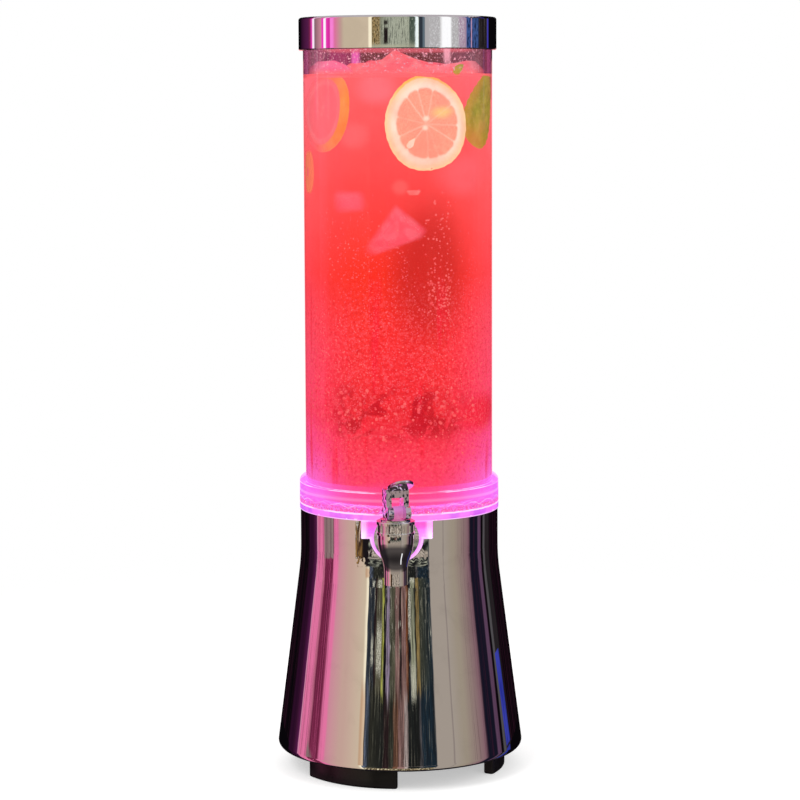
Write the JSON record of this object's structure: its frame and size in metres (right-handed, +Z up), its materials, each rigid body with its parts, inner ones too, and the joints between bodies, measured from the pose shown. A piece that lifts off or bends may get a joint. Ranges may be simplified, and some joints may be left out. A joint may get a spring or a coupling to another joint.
{
  "type": "beer tower",
  "caption": "Drinks tower: a clear upright tube in a lit collar on a flared mirror-chrome base, with a lever tap at the front, a slip-over lid and arc-shaped feet.",
  "frame": {"origin": "on the table, on the tower's axis, at the centre of the circle that the three feet stand on", "axes": "+Z up along the tower's axis, -Y towards the tap, +X to the right as seen from the tap's side"},
  "size_m": [0.158, 0.1857, 0.4815],
  "materials": {
    "chrome_plate": "mirror chrome plate on moulded plastic",
    "clear_acrylic": "clear polished acrylic",
    "foot_rubber": "satin black moulded rubber",
    "black_plastic": "fine matt moulding",
    "white_plastic": "plain moulding",
    "frosted_lens": "frosted",
    "board_green": "solder-masked board",
    "lamp_face": "moulded lamp",
    "cell_can": "plain wrapped can",
    "spring_steel": "bright drawn",
    "screw_steel": "zinc plated",
    "button_grey": "plain moulding",
    "lead_cover": "smooth flexible cover",
    "seal_rubber": "food-grade silicone",
    "stem_steel": "polished stainless"
  },
  "bodies": {
    "base": {"base_shell": "chrome_plate", "bottom_cover": "black_plastic", "foot_front_left": "foot_rubber", "foot_right": "foot_rubber", "foot_rear_left": "foot_rubber", "foot_screws": "screw_steel", "cover_screws": "screw_steel", "light_deck": "white_plastic", "deck_screws": "screw_steel", "lamp_board": "board_green", "lamps": "lamp_face", "light_lens": "frosted_lens", "battery_holder": "black_plastic", "batteries": "cell_can", "battery_contacts": "spring_steel", "switch_body": "black_plastic", "battery_lead": "lead_cover", "switch_lead": "lead_cover"},
    "door": {"battery_door": "black_plastic"},
    "button": {"power_button": "button_grey"},
    "vessel": {"vessel_cup": "clear_acrylic", "tap_well": "clear_acrylic", "vessel_tube": "clear_acrylic", "tap_body": "chrome_plate", "outer_washer": "seal_rubber", "inner_washer": "seal_rubber", "shank_nut": "white_plastic", "tap_bonnet": "chrome_plate", "stem_seal": "seal_rubber", "valve_spring": "spring_steel"},
    "lid": {"lid": "chrome_plate"},
    "swivel": {"rocker_washer": "stem_steel"},
    "stem": {"valve_stem": "white_plastic", "seat_washer": "seal_rubber"},
    "lever": {"tap_lever": "chrome_plate", "lever_pin": "stem_steel"}
  },
  "joints": [
    {"name": "vessel_lift", "type": "slide", "parent": "base", "child": "vessel", "axis": [0, 0, 1], "range_m": [0, 0.14]},
    {"name": "lid_lift", "type": "slide", "parent": "vessel", "child": "lid", "axis": [0, 0, 1], "range_m": [0, 0.08]},
    {"name": "lever_swivel", "type": "hinge", "parent": "vessel", "child": "swivel", "pos_m": [0, -0.088, 0.17395], "axis": [0, 0, 1], "range_deg": [-110, 70]},
    {"name": "stem_lift", "type": "slide", "parent": "swivel", "child": "stem", "axis": [0, 0, 1], "range_m": [0, 0.00305], "stiffness_N_per_m": 1600, "springref_m": -0.0005, "deforming": ["valve_spring"]},
    {"name": "lever_tilt", "type": "hinge", "parent": "stem", "child": "lever", "pos_m": [0, -0.088, 0.17915], "axis": [0.9397, 0.342, 0], "range_deg": [0, 35]},
    {"name": "button_press", "type": "slide", "parent": "base", "child": "button", "axis": [0, 0, 1], "range_m": [0, 0.0015], "stiffness_N_per_m": 300, "springref_m": -0.0002},
    {"name": "door_slide", "type": "slide", "parent": "base", "child": "door", "axis": [-1, 0, 0], "range_m": [0, 0.058]}
  ],
  "couplings": [
    {"joint": "lever_tilt", "follows": "stem_lift", "rad_per_m": 200}
  ]
}
